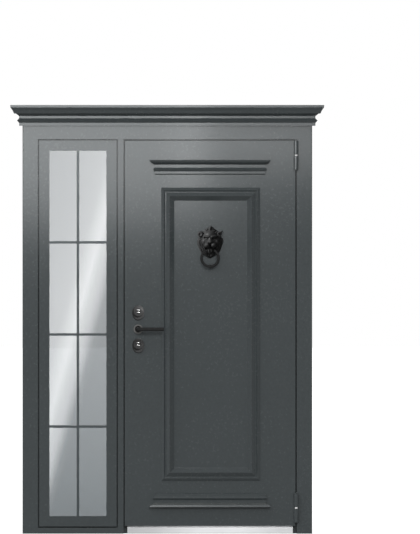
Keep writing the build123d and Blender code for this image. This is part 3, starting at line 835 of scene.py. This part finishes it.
@dataclass
class LockSet:
    """Levers on their roses, lock plates with their plugs, and the plates in the leaf's edge.

    Sizes are millimetres; turned and stepped profiles are pairs of radius or inset and height.
    """

    finishes: Finishes
    rose: Profile = (
        (24.5, 0.0), (24.5, 6.4), (24.1, 7.8), (23.2, 8.6), (21.8, 9.0), (19.4, 9.0),
        (17.8, 8.6), (16.6, 7.7), (16.0, 6.4), (16.0, 4.0), (6.6, 4.0), (6.6, 0.0),
    )
    # A black ring laid in the rose's hollow round the lever's neck, as painted shade there
    bush: Profile = ((15.8, 3.9), (15.8, 5.6), (14.6, 4.7), (10.3, 4.7), (10.3, 3.9))
    plate_half: Place = (30.5, 38.0)
    plate_steps: Profile = (
        (0.3, 0.0), (0.0, 0.8), (0.0, 4.6), (0.3, 5.8), (1.0, 6.9), (2.1, 7.6), (3.4, 7.95), (5.0, 8.0),
    )
    boss: Profile = (
        (26.0, 6.0), (26.0, 9.6), (25.5, 11.0), (24.3, 12.2), (22.4, 13.0), (19.5, 13.5),
        (15.0, 13.9), (9.0, 14.0),
    )
    boss_rise: float = 5.0
    collar: Profile = ((12.4, 12.0), (12.4, 14.2), (11.9, 14.9), (11.3, 14.9), (10.9, 14.2), (10.9, 12.0))
    plug: Profile = ((8.5, 0.0), (8.5, 12.6), (7.8, 13.2))
    plug_rise: float = 9.0
    pad_half: Place = (8.4, 2.7)
    pad_rise: float = 6.3
    pad_power: float = 2.8
    pad_steps: Profile = ((0.1, 12.0), (0.0, 13.8), (0.3, 14.8), (0.9, 15.5), (1.7, 15.9), (2.4, 16.0))
    slot_half: Place = (9.0, 3.0)
    slot_power: float = 4.0
    slot_steps: Profile = ((0.0, 12.8), (0.0, 14.3), (0.4, 14.5))
    screw: Profile = ((4.2, 0.0), (4.2, 0.3), (3.7, 0.8), (2.4, 1.0), (1.9, 1.0), (1.7, 0.4))
    screw_places: tuple[float, ...] = (-0.9, 0.9)
    bolt: Profile = ((8.0, 0.0), (8.0, 3.6), (7.4, 4.6), (6.4, 5.0))
    keep: Profile = ((9.6, 0.0), (9.6, 0.5), (9.2, 0.8), (8.8, 0.8), (8.4, 0.4), (8.4, 0.0))
    bolt_places: tuple[float, ...] = (-0.6, 0.0, 0.6)
    neck_gap: float = 0.3
    bend: float = 13.0
    bar_radius: float = 9.5
    bar_sides: int = 40
    tip_round: float = 3.0
    neck_steps: int = 8
    bend_steps: int = 20
    grip_steps: int = 30
    spindle_radius: float = 6.0
    spindle_gap: float = 0.2

    def build(self) -> None:
        """Makes the lock's pieces on both faces and dresses the edge plates."""
        dress(("lock_faceplate", "strike_plate"), self.finishes.stainless)
        for side in Side:
            self.rosette(side)
            self.lever(side)
            self.lock_plates(side)
        self.plugs()
        self.edge_fittings()

    def on_face(self, node: str, side: Side) -> Array:
        """A node's middle, carried along Y to a face of the leaf."""
        middle = middle_of(node)
        middle[1] = side.reach(f"leaf_{side.word}_panel")
        return middle

    def rosette(self, side: Side) -> None:
        """A turned rose with a rounded rim, in a lighter black that paints the rim's lit look, and a black
        bush in its hollow round the lever's neck that paints the shade there.

        Args:
            side: the face that it lies on.
        """
        foot = self.on_face("outer_rosette", side)
        rose = turned(foot, side.axis, self.rose, closed=True)
        bush = turned(foot, side.axis, self.bush, closed=True)
        name = f"{side.word}_rose"
        make_piece(name, rose, Body.LEAF, self.finishes.rose, (f"{name}tte",))
        # The black bush paints the shade in the rose's hollow.
        make_piece(f"{name}_bush", bush, Body.LEAF, self.finishes.black)

    def lever(self, side: Side) -> None:
        """A round bar bent out of the rose: straight neck, quarter circle, straight grip, rounded tip.

        Args:
            side: the face that it stands on.
        """
        node, out = f"{side.word}_lever", side.value
        foot = self.on_face("outer_rosette", side)
        bend, tip, thick = self.bend * MM, self.tip_round * MM, self.bar_radius * MM
        grip_y = side.reach(node) - out * thick
        tip_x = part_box(node)[1].x - tip
        root = foot[1] + out * (self.rose[-2][1] + self.neck_gap) * MM
        turn = np.linspace(0, math.pi / 2, self.bend_steps)
        neck = np.linspace(root, grip_y - out * bend, self.neck_steps)[:-1]
        grip = np.linspace(foot[0] + bend, tip_x, self.grip_steps)[1:-1]
        curve = foot[0] + bend * (1 - np.cos(turn))
        x = np.concatenate([np.full(len(neck), foot[0]), curve, grip, tip_x + tip * np.sin(turn)])
        y = np.full(len(x), grip_y)
        y[:len(neck)] = neck
        y[len(neck):len(neck) + len(turn)] -= out * bend * (1 - np.sin(turn))
        radius = np.full(len(x), thick)
        radius[-len(turn):] -= tip * (1 - np.cos(turn))
        path = np.stack([x, y, np.full(len(x), foot[2])], -1)
        middle = sum(each.reach(f"leaf_{each.word}_panel") for each in Side) / 2
        ends = np.stack([foot, foot])
        ends[:, 1] = middle + out * self.spindle_gap * MM, root
        shells = [
            sweep(path, radius, UP, self.bar_sides),
            sweep(ends, np.full(len(ends), self.spindle_radius * MM), UP),
        ]
        make_piece(f"{side.word}_handle", join(shells), Body.LEVER, self.finishes.black, (node,))

    def lock_plates(self, side: Side) -> None:
        """The two lock plates of one face: a bevelled oval plate and a domed disc with a collar.

        Args:
            side: the face that they lie on.
        """
        word = "lock" if side is Side.OUTSIDE else "inner"
        for level in ("upper", "lower"):
            node = f"{level}_{word}_escutcheon"
            middle = self.on_face(node, side)
            shells = [
                oval_plate(middle, side.value, self.plate_half, self.plate_steps),
                turned(middle + self.boss_rise * MM * UP, side.axis, self.boss, LARGEST),
                turned(middle + self.plug_rise * MM * UP, side.axis, self.collar, MIDDLING, closed=True),
            ]
            name = f"{level}_{word}_plate"
            make_piece(name, join(shells), Body.LEAF, self.finishes.black, (node,))

    def plugs(self) -> None:
        """Four round plugs, each with two pillows above and below its level keyway, and a black piece in each
        keyway that paints the slot's shade.
        """
        pad = (self.pad_half, self.pad_steps, self.pad_power, MIDDLING)
        # The shape of the black piece that paints the shade in each slot
        keyway = (self.slot_half, self.slot_steps, self.slot_power, SMALL)
        bodies, keyways = [], []
        for side in Side:
            for node in ("upper_lock_escutcheon", "lower_lock_escutcheon"):
                plug = self.on_face(node, side) + self.plug_rise * MM * UP
                bodies.append(turned(plug, side.axis, self.plug, MIDDLING))
                for lift in (-self.pad_rise, self.pad_rise):
                    bodies.append(oval_plate(plug + lift * MM * UP, side.value, *pad))
                keyways.append(oval_plate(plug, side.value, *keyway))
        make_piece("lock_plugs", join(bodies), Body.LEAF, self.finishes.polished,
                   ("lock_cylinders",))
        # The black keyway pieces paint the shade in the plugs' slots.
        make_piece("keyways", join(keyways), Body.LEAF, self.finishes.black)

    def edge_fittings(self) -> None:
        """Bolts and screws on the leaf's edge plate, and the keeps that face them on the mullion."""
        for plate, sign, body in (("lock_faceplate", -1, Body.LEAF), ("strike_plate", 1, Body.FRAME)):
            low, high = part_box(plate)
            middle = middle_of(plate)
            middle[0] = low.x if sign < 0 else high.x
            reach = (high.z - low.z) / 2 * UP
            bored = body is Body.FRAME
            profile = self.keep if bored else self.bolt
            fittings = [(share, self.screw, SMALL, False) for share in self.screw_places]
            fittings += [(share, profile, MIDDLING, bored) for share in self.bolt_places]
            shells = [turned(middle + share * reach, sign * RIGHT, *shape) for share, *shape in fittings]
            make_piece(f"{plate}_fittings", join(shells), body, self.finishes.polished)


@dataclass
class Knocker:
    """A cast lion head with a hanging ring; sizes and places are millimetres from the head's middle."""

    finishes: Finishes
    around: int = 420
    outwards: int = 150
    inmost: float = 0.004
    edge_start: float = 0.9
    edge_drop: float = 0.93
    back_share: float = 0.6
    # The head's outline from the crown round by the right ear and the beard
    rim: Profile = (
        (7, 86), (11, 79), (18, 77), (21, 71), (27, 69.5), (31, 63), (37, 61), (43, 56), (53, 57),
        (65, 59), (61, 45), (57, 31), (65, 20), (68, 10), (66, -4), (62, -16), (57, -31), (51, -46),
        (41, -58), (28, -67), (14, -76), (0, -82), (-14, -77), (-29, -67), (-42, -57), (-52, -44),
        (-59, -28), (-65, -14), (-67, 0), (-66, 12), (-58, 26), (-62, 37), (-65, 47), (-57, 57),
        (-45, 58), (-37, 56), (-30, 61), (-27, 66), (-19, 68), (-16, 73), (-8, 75), (-3, 81),
    )
    lowest: float = 1.0
    highest: float = 61.5
    eyes: tuple[Place, Place] = ((-18.0, 20.5), (22.0, 20.5))
    pads: tuple[Place, Place] = ((-15.5, -13.5), (18.0, -13.0))
    ears: tuple[Place, Place] = ((-51.0, 44.0), (51.0, 44.0))
    nostrils: tuple[Place, Place] = ((-6.0, -3.5), (7.0, -3.5))
    mouth: Place = (1.0, -33.0)
    mouth_half: Place = (27.0, 9.0)
    mouth_floor: float = 9.0
    # The three locks that stand up on the crown: foot, tip and width
    crown_locks: tuple[tuple[Place, Place, float], ...] = (
        ((-4, 66), (6, 83), 3.5), ((10, 64), (19, 74), 3.2), ((-11, 64), (-17, 71), 3.2),
    )
    jaw_half: float = 18.6
    jaw_gap: float = 0.4
    ring_radius: float = 44.0
    ring_bar: float = 6.75
    ring_gap: float = 2.2
    ring_steps: int = 200
    point_rise: float = 2.0
    point_spread: float = 0.18
    pin: float = 5.0
    pin_half: float = 24.0
    pin_steps: int = 5
    pin_sides: int = 28
    knob: Profile = (
        (0.6, -10.4), (2.6, -9.6), (5.6, -6.4), (7.6, -3.0), (8.0, 0.0), (7.6, 3.0), (5.6, 6.4), (2.6, 9.6),
        (0.6, 10.4),
    )
    knob_sides: int = 36

    def build(self) -> None:
        """Carves the head, bends the ring and dresses the stud behind it."""
        dress(("knocker_strike",), self.finishes.black)
        make_piece("lion_head", self.head(), Body.LEAF, self.finishes.black, ("knocker_head",))
        make_piece("lion_ring", self.ring(), Body.RING, self.finishes.black, ("knocker_ring",))

    def head(self) -> Shell:
        """The head as a fan: point = middle + s (rim - middle), raised by the relief at that place.

        Returns:
            The closed shell, with its back on the leaf.
        """
        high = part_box("knocker_head")[1]
        middle = np.array([middle_of("knocker_head")[0], high.y, high.z - self.rim[0][1] * MM])
        rim = closed_curve(np.array(self.rim, float), self.around)
        share = np.linspace(self.inmost, 1, self.outwards)[:, None]
        x, z = share * rim[:, 0], share * rim[:, 1]
        edge = np.sqrt(1 - self.edge_drop * smooth_step(share, self.edge_start, 1.0))
        height = self.relief(x, z, share) * edge
        rings = np.stack([x, -height, z], -1)
        foot = np.stack([rim[:, 0], np.zeros(self.around), rim[:, 1]], -1)
        rings = np.concatenate([foot[None] * self.back_share, foot[None], rings[::-1]])
        return tube(middle + MM * rings)

    def relief(self, x: Array, z: Array, share: Array) -> Array:
        """Height of the casting over the leaf, in millimetres.

        The mane lies lowest. The skull, cheeks, muzzle, nose and jaw are caps laid over it, each the
        higher of two surfaces; eyes, nostrils and mouth are sunk between them.

        Args:
            x: places across the head, from its middle.
            z: places up the head.
            share: distance from the middle as a share of the way to the outline.

        Returns:
            The heights.
        """
        height = higher(self.mane(x, z, share), self.skull(x, z), 2.0)
        across = (x - self.mouth[0]) / self.mouth_half[0]
        upward = (z - self.mouth[1]) / self.mouth_half[1]
        height += (self.mouth_floor - height) * (1 - smooth_step(across**2 + upward**2, 0.7, 1.25))
        height = self.muzzle(x, z, height)
        height = self.jaw(x, z, height)
        return np.clip(height, self.lowest, self.highest)

    def skull(self, x: Array, z: Array) -> Array:
        """Forehead, brows, sunk eyes and cheeks.

        Args:
            x: places across the head.
            z: places up the head.

        Returns:
            The heights in millimetres.
        """
        height = 6 + 36 * dome(x, z, (0, 14), 43, 52)
        height += 5 * hill(x, z, (-2, 46), 19, 13)
        for at, out in zip(self.eyes, (-1, 1)):
            cheek = (at[0] + 12 * out, at[1] - 15)
            height = higher(height, 8 + 27 * dome(x, z, cheek, 15, 21), 4)
            inner, outer = (at[0] - 10 * out, at[1] - 2.5), (at[0] + 9 * out, at[1] + 2.5)
            height += 7 * ridge(x, z, (inner[0], inner[1] + 10), (outer[0] + 2 * out, outer[1] + 8), 5.5)
            height -= 12 * ridge(x, z, inner, outer, 5.2)
            height += 7.5 * dome(x, z, (at[0], at[1] - 0.6), 6.4, 4.2)
            height += 3 * ridge(x, z, (inner[0], inner[1] - 6), (outer[0], outer[1] - 7), 2.4)
        return height

    def muzzle(self, x: Array, z: Array, height: Array) -> Array:
        """Lays the nose's bridge and tip and the two lip pads over the face.

        Args:
            x: places across the head.
            z: places up the head.
            height: the face without them.

        Returns:
            The heights in millimetres.
        """
        width = 8.5 + 0.14 * np.clip(36 - z, 0, 40)
        bridge = 54 - 0.42 * np.clip(z, -4, 50) - 13 * (np.abs(x) / width) ** 2.6
        bridge -= 40 * smooth_step(z, 30, 52) + 60 * smooth_step(-z, 0, 9)
        height = higher(height, np.maximum(bridge, 0), 3)
        for at, out in zip(self.pads, (-1, 1)):
            pad = 22 + 38.5 * dome(x, z, at, 15.5, 14.6) ** 0.8
            for row in range(3):
                for column in range(3):
                    spot = (at[0] + out * (1 + 4 * column), at[1] + 3 - 4 * row - 0.8 * column)
                    pad -= 1.6 * hill(x, z, spot, 1.1, 1.1)
            height = higher(height, np.where(pad > 22.01, pad, 0), 0.8)
        tip = 46 + 15 * dome(x, z, (0.5, 1.5), 13.5, 8.0)
        height = higher(height, np.where(tip > 46.01, tip, 0), 1.0)
        for nostril in self.nostrils:
            height -= 7 * hill(x, z, nostril, 3.0, 1.8)
        return height - 12 * ridge(x, z, (1, -7.5), (1, -27), 2.2) * smooth_step(height, 20, 40)

    def mane(self, x: Array, z: Array, share: Array) -> Array:
        """Locks that follow the outline at the sides and fan out over the crown, and the ears.

        Args:
            x: places across the head.
            z: places up the head.
            share: distance from the middle as a share of the way to the outline.

        Returns:
            The heights in millimetres.
        """
        turn = np.arctan2(x, z + 4)
        fan = np.arctan2(x, z - 22)
        side = np.cos(TURN * (6.2 * share + 0.30 * np.sin(5 * turn) + 0.12 * np.sin(11 * turn)))
        crown = np.cos(13 * fan + 1.4 * np.sin(0.16 * z) + 0.8)
        top = smooth_step(z, 34, 52)
        lock = side + (crown - side) * top
        strand = np.cos(TURN * (19 * share + 0.9 * np.sin(5 * turn))) * (1 - top) + np.cos(37 * fan) * top
        height = 22 - 12 * share**2 + (5 + 2.5 * top) * (0.5 + 0.5 * lock) ** 0.6 + 0.9 * strand
        for foot, tip, wide in self.crown_locks:
            height += 5 * ridge(x, z, foot, tip, wide)
        for at, out in zip(self.ears, (-1, 1)):
            hollow = hill(x, z, (at[0] + 1.5 * out, at[1] - 1), 7.5, 8)
            ear = 10 + 20 * dome(x, z, at, 15.5, 16) ** 0.6 - 15 * hollow
            height = higher(height, np.where(ear > 10.01, ear, 0), 1.5)
        return height

    def jaw(self, x: Array, z: Array, height: Array) -> Array:
        """Lays the jaw that holds the ring's pin, and the beard below it, over the face.

        Args:
            x: places across the head.
            z: places up the head.
            height: the face without them.

        Returns:
            The heights in millimetres.
        """
        locks = 0.5 - 0.5 * np.cos(TURN * (x - 0.5) / (15 + 0.05 * z))
        strand = np.cos(TURN * x / 3.4 + 0.2 * z)
        beard = 8 + 15 * dome(x, z, (0, -56), 33, 27) ** 0.7 + 4 * locks + 0.7 * strand
        height = higher(height, beard * smooth_step(-z, 50, 55), 1.5)
        chin = 37 + 6.5 * locks + 0.7 * strand - 0.011 * x**2 - 0.5 * np.clip(-z - 45, 0, 30) ** 1.25
        block = 1 - smooth_step(np.abs(x), self.jaw_half - 2.5, self.jaw_half)
        block *= smooth_step(-z, 34.5, 38) * (1 - smooth_step(-z, 55, 59))
        return np.maximum(height, chin * block)

    def ring(self) -> Shell:
        """The ring: a bar bent round a circle that comes to a point, its pin stubs and a small knob.

        Returns:
            The joined shells.
        """
        pivot = next(joint for joint in frame["joints"] if joint["name"] == "knocker_swing")["pos_m"]
        hang = math.sqrt(self.ring_radius**2 - self.pin_half**2)
        centre = np.array(pivot) - hang * MM * UP
        start = math.asin((self.jaw_half + self.ring_gap) / self.ring_radius)
        turn = np.linspace(start, TURN - start, self.ring_steps)
        radius = self.ring_radius + self.point_rise * np.exp(-((turn - math.pi) / self.point_spread) ** 2)
        path = np.stack([radius * np.sin(turn), 0 * turn, radius * np.cos(turn)], -1)
        shells = [sweep(centre + MM * path, np.full(len(turn), self.ring_bar * MM), INWARD)]
        for side in (-1, 1):
            ends = side * np.linspace(self.jaw_half + self.jaw_gap, self.pin_half, self.pin_steps)
            stub = np.array(pivot) + MM * ends[:, None] * RIGHT
            shells.append(sweep(stub, np.full(len(ends), self.pin * MM), INWARD, self.pin_sides))
        shells.append(turned(centre - self.ring_radius * MM * UP, UP, self.knob, self.knob_sides))
        return join(shells)


# Studio


def wearing(*materials: Material) -> list[Object]:
    """The objects whose first material is one of those given."""
    meshes = [made for made in bpy.data.objects if made.type == "MESH" and made.data.materials]
    return [made for made in meshes if made.data.materials[0] in materials]


def keep_light(light: Object, pieces: list[Object], lit: bool) -> None:
    """Keeps a light to some pieces, or off them.

    Args:
        light: the lamp or glowing card.
        pieces: the pieces in question.
        lit: True if it lights them alone, False if it lights all but them.
    """
    chosen = bpy.data.collections.new(light.name + "_pieces")
    for piece in pieces:
        chosen.objects.link(piece)
    if not lit:
        for item in chosen.collection_objects:
            item.light_linking.link_state = "EXCLUDE"
    light.light_linking.receiver_collection = chosen


def stage_sheet(name: str, corners: list[Way], material: Material) -> Object:
    """A flat four-cornered stage object.

    Args:
        name: the object's name.
        corners: its corners in order.
        material: its finish.

    Returns:
        The new object.
    """
    mesh = bpy.data.meshes.new(name)
    mesh.from_pydata(corners, [], [(0, 1, 2, 3)])
    mesh.materials.append(material)
    made = bpy.data.objects.new(name, mesh)
    bpy.context.scene.collection.objects.link(made)
    return made


def seen_rays(graph: Graph) -> Socket:
    """1 on rays from the camera, in gloss and through glass, and 0 on others."""
    path = graph.node("LightPath")
    seen = graph.math("MAXIMUM", path.outputs["Is Camera Ray"], path.outputs["Is Transmission Ray"])
    return graph.math("MAXIMUM", seen, path.outputs["Is Glossy Ray"])


@dataclass
class Card:
    """An upright see-through card that glows in gloss alone; each kind draws its own glow."""

    name: str
    middle: Place
    half: Place
    away: float
    strength: float

    def draw(self, graph: Graph, x: Socket, z: Socket) -> Socket:
        """The share of its strength at a place across and up the card."""
        raise NotImplementedError

    def build(self) -> Object:
        """Stands the card in front of the door.

        Returns:
            The card.
        """
        material = bpy.data.materials.new(self.name)
        graph = blank_graph(material)
        place = graph.node("SeparateXYZ", {0: graph.node("TexCoord").outputs["Object"]})
        share = self.draw(graph, place.outputs["X"], place.outputs["Z"])
        strength = graph.math("MULTIPLY", share, self.strength)
        glow = graph.node("Emission", {"Color": WHITE, "Strength": strength})
        clear = graph.node("BsdfTransparent")
        both = graph.node("AddShader", {0: glow.outputs[0], 1: clear.outputs[0]})
        graph.node("OutputMaterial", {"Surface": both.outputs[0]})
        left, right = self.middle[0] - self.half[0], self.middle[0] + self.half[0]
        foot, top = self.middle[1] - self.half[1], self.middle[1] + self.half[1]
        places = ((left, foot), (right, foot), (right, top), (left, top))
        card = stage_sheet(self.name, [(x, -self.away, z) for x, z in places], material)
        card.visible_camera = False
        card.visible_diffuse = False
        card.visible_transmission = False
        card.visible_shadow = False
        LOG.info("%s: %.1f m in front", self.name, self.away)
        return card


@dataclass
class SoftBox(Card):
    """A card that fades towards its edges."""

    fade: float = 4.0

    def draw(self, graph: Graph, x: Socket, z: Socket) -> Socket:
        """Share (1 - |u|^n)(1 - |v|^n) over the card."""
        fades = []
        for place, middle, half in zip((x, z), self.middle, self.half):
            share = graph.math("DIVIDE", graph.math("SUBTRACT", place, middle), half)
            power = graph.math("POWER", graph.math("ABSOLUTE", share), self.fade)
            fades.append(graph.math("SUBTRACT", 1.0, power))
        return graph.math("MULTIPLY", *fades)


@dataclass
class SillCard(Card):
    """A low card that is brightest in the middle."""

    def draw(self, graph: Graph, x: Socket, z: Socket) -> Socket:
        """Share 1 - u^2 across the card."""
        share = graph.math("DIVIDE", graph.math("SUBTRACT", x, self.middle[0]), self.half[0])
        return graph.math("SUBTRACT", 1.0, graph.math("MULTIPLY", share, share))


@dataclass
class GlassCard(Card):
    """A tall card whose soft slanting edge shows in the panes, brighter on its left."""

    slope: float = 0.277
    offset: float = 0.8045
    # Distance from the slanting line in metres, the streak's share there, and the right side's share
    stops: tuple[Way, ...] = (
        (-0.52, 0.50, 0.0), (-0.19, 0.63, 0.0), (-0.095, 0.70, 0.0), (-0.013, 1.0, 0.0), (0.026, 0.78, 0.0),
        (0.054, 0.70, 0.0), (0.074, 0.55, 0.1), (0.113, 0.10, 0.75), (0.147, 0.0, 1.0), (0.52, 0.0, 1.0),
    )
    # Heights between which each side grows stronger, and its shares there
    streak_rise: Span = (0.44, 1.22, 0.8, 1.0)
    right_rise: Span = (-0.08, 1.14, 0.0, 0.27)

    def draw(self, graph: Graph, x: Socket, z: Socket) -> Socket:
        """Share by the distance x - slope z + offset, and by the height as well."""
        first, last = self.stops[0][0], self.stops[-1][0]
        gap = graph.math("ADD", graph.math("SUBTRACT", x, graph.math("MULTIPLY", z, self.slope)), self.offset)
        ramp = graph.node("ValToRGB", {0: graph.span(gap, first, last, 0.0, 1.0)})
        elements = ramp.color_ramp.elements
        while len(elements) < len(self.stops):
            elements.new(0.5)
        for element, (distance, streak, right) in zip(elements, self.stops):
            element.position = (distance - first) / (last - first)
            element.color = (streak, right, 0.0, 1.0)
        parts = graph.node("SeparateColor", {0: ramp.outputs[0]})
        right = graph.math("MULTIPLY", parts.outputs[1], graph.span(z, *self.right_rise))
        streak = graph.math("MULTIPLY", parts.outputs[0], graph.span(z, *self.streak_rise))
        return graph.math("ADD", right, streak)


@dataclass
class Studio:
    """Floor, soft lights and the camera."""

    finishes: Finishes
    distance: float = 26.0
    sensor: float = 36.0
    sight: float = 200.0
    picture_height: float = 2.765
    look_x: float = 0.221
    look_z: float = 1.381
    key_way: Way = (0.12, -1.0, 0.4)
    key_level: float = 1.55
    key_spread: float = 0.21
    head_way: Way = (-1.0, -0.45, 0.6)
    head_power: float = 1400.0
    plate_way: Way = (0.8, -0.55, 0.8)
    plate_power: float = 2200.0
    lamp_distance: float = 6.0
    lamp_size: float = 1.6
    left_light: float = 2.6
    right_loss: float = 0.05
    top_light: float = 0.8
    base_light: float = 0.05
    floor_reach: float = 60.0
    floor_level: float = -0.0005
    floor_tone: float = 0.45
    floor_seen: float = 0.34
    floor_glow: float = 0.8

    def build(self) -> None:
        """Sets up the view, the world, the floor and the lights."""
        bpy.context.scene.view_settings.view_transform = "Standard"
        self.camera()
        self.world()
        self.floor()
        self.lamps()
        self.cards()

    def camera(self) -> None:
        """A long lens square to the door's face."""
        data = bpy.data.cameras.new("camera")
        data.sensor_width = self.sensor
        data.lens = self.sensor * self.distance / self.picture_height
        data.clip_end = self.sight
        made = bpy.data.objects.new("camera", data)
        made.location = (self.look_x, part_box("frame_head")[0].y - self.distance, self.look_z)
        made.rotation_euler = (math.pi / 2, 0, 0)
        bpy.context.scene.collection.objects.link(made)
        bpy.context.scene.camera = made

    def world(self) -> None:
        """White where it is seen, in gloss and through glass too; it lights the door more from the left."""
        world = bpy.data.worlds.new("studio")
        bpy.context.scene.world = world
        graph = blank_graph(world)
        way = graph.node("SeparateXYZ", {0: graph.node("TexCoord").outputs["Generated"]})
        left = graph.span(way.outputs["X"], -1.0, 0.0, self.left_light, 0.0)
        right = graph.span(way.outputs["X"], 0.0, 1.0, 0.0, self.right_loss)
        lift = graph.span(way.outputs["Z"], 0.0, 1.0, 0.0, self.top_light)
        level = graph.math("ADD", graph.math("ADD", left, lift), self.base_light)
        level = graph.math("SUBTRACT", level, right)
        room = graph.node("Background", {"Color": WHITE, "Strength": level})
        white = graph.node("Background", {"Color": WHITE, "Strength": 1.0})
        both = graph.node("MixShader", {0: seen_rays(graph), 1: room.outputs[0], 2: white.outputs[0]})
        graph.node("OutputWorld", {"Surface": both.outputs[0]})

    def floor(self) -> None:
        """A pale floor that shows white and keeps a soft shadow."""
        material = bpy.data.materials.new("pale_floor")
        graph = blank_graph(material)
        seen = seen_rays(graph)
        unseen_tone, seen_tone = ((tone, tone, tone, 1.0) for tone in (self.floor_tone, self.floor_seen))
        lit = graph.node("BsdfDiffuse", {"Color": graph.mix(seen, unseen_tone, seen_tone)})
        glow = graph.math("MULTIPLY", seen, self.floor_glow)
        white = graph.node("Emission", {"Color": WHITE, "Strength": glow})
        both = graph.node("AddShader", {0: lit.outputs[0], 1: white.outputs[0]})
        graph.node("OutputMaterial", {"Surface": both.outputs[0]})
        reach = self.floor_reach
        places = ((-reach, -reach), (reach, -reach), (reach, reach), (-reach, reach))
        stage_sheet("floor", [(x, y, self.floor_level) for x, y in places], material)

    def lamp(self, data: bpy.types.Light, aim: Array, way: Way) -> Object:
        """Stands a light so that it looks at a place.

        Args:
            data: the light.
            aim: the place that it looks at.
            way: the way from that place to the light.

        Returns:
            The lamp.
        """
        made = bpy.data.objects.new(data.name, data)
        along = np.array(way) / np.linalg.norm(way)
        made.location = aim + self.lamp_distance * along
        tilt = math.atan2(math.hypot(along[0], along[1]), along[2])
        made.rotation_euler = (tilt, 0, math.atan2(along[0], -along[1]))
        made.visible_camera = False
        bpy.context.scene.collection.objects.link(made)
        return made

    def disc(self, name: str, power: float) -> bpy.types.Light:
        """A round soft light of a power in watts."""
        data = bpy.data.lights.new(name, "AREA")
        data.shape = "DISK"
        data.size = self.lamp_size
        data.energy = power
        return data

    def lamps(self) -> None:
        """A key far in front, and two small lamps that model the knocker and the lock plates."""
        head = [bpy.data.objects["lion_head"]]
        plates = [made for made in wearing(self.finishes.black) if "_plate" in made.name]
        far = bpy.data.lights.new("key", "SUN")
        far.energy = self.key_level
        far.angle = self.key_spread
        key = self.lamp(far, np.array([self.look_x, 0.0, self.look_z]), self.key_way)
        keep_light(key, head, False)
        head_disc = self.disc("head_lamp", self.head_power)
        head_lamp = self.lamp(head_disc, np.array(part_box("knocker_head")[0]), self.head_way)
        keep_light(head_lamp, head, True)
        plate_disc = self.disc("plate_lamp", self.plate_power)
        plate_disc.diffuse_factor = 0.0
        plate_lamp = self.lamp(plate_disc, np.array(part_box("outer_rosette")[0]), self.plate_way)
        keep_light(plate_lamp, plates, True)

    def cards(self) -> None:
        """Three soft boxes that the paint's sheen blurs, and a card each for the panes and the threshold."""
        kinds = self.finishes
        dull = wearing(kinds.glass, kinds.black, kinds.rose, kinds.stainless, kinds.polished)
        boxes = (
            SoftBox("left_box", (-0.82, 2.20), (1.17, 0.65), 1.41, 16.8),
            SoftBox("middle_box", (0.114, 2.02), (0.09, 0.34), 0.8, 8.3),
            SoftBox("right_box", (0.45, 2.07), (0.60, 0.18), 1.41, 15.0),
        )
        for box in boxes:
            keep_light(box.build(), dull, False)
        tall = GlassCard("glass_card", (-0.4, 1.3), (1.2, 1.3), 1.75, 8.8)
        keep_light(tall.build(), wearing(kinds.glass, kinds.bars), True)
        low = SillCard("sill_card", (0.31, 0.225), (0.36, 0.225), 1.2, 4.4)
        keep_light(low.build(), wearing(kinds.stainless), True)


def main() -> None:
    """Builds the door set in order and reports each piece."""
    logging.basicConfig(level=logging.INFO, format="%(name)s %(message)s")
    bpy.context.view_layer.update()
    finishes = Finishes(Effects())
    for part in (FrameSet, Sidelight, Leaf, LockSet, Knocker):
        part(finishes).build()
        LOG.info("%s done", part.__name__)
    Studio(finishes).build()


if __name__ == "__main__":
    main()
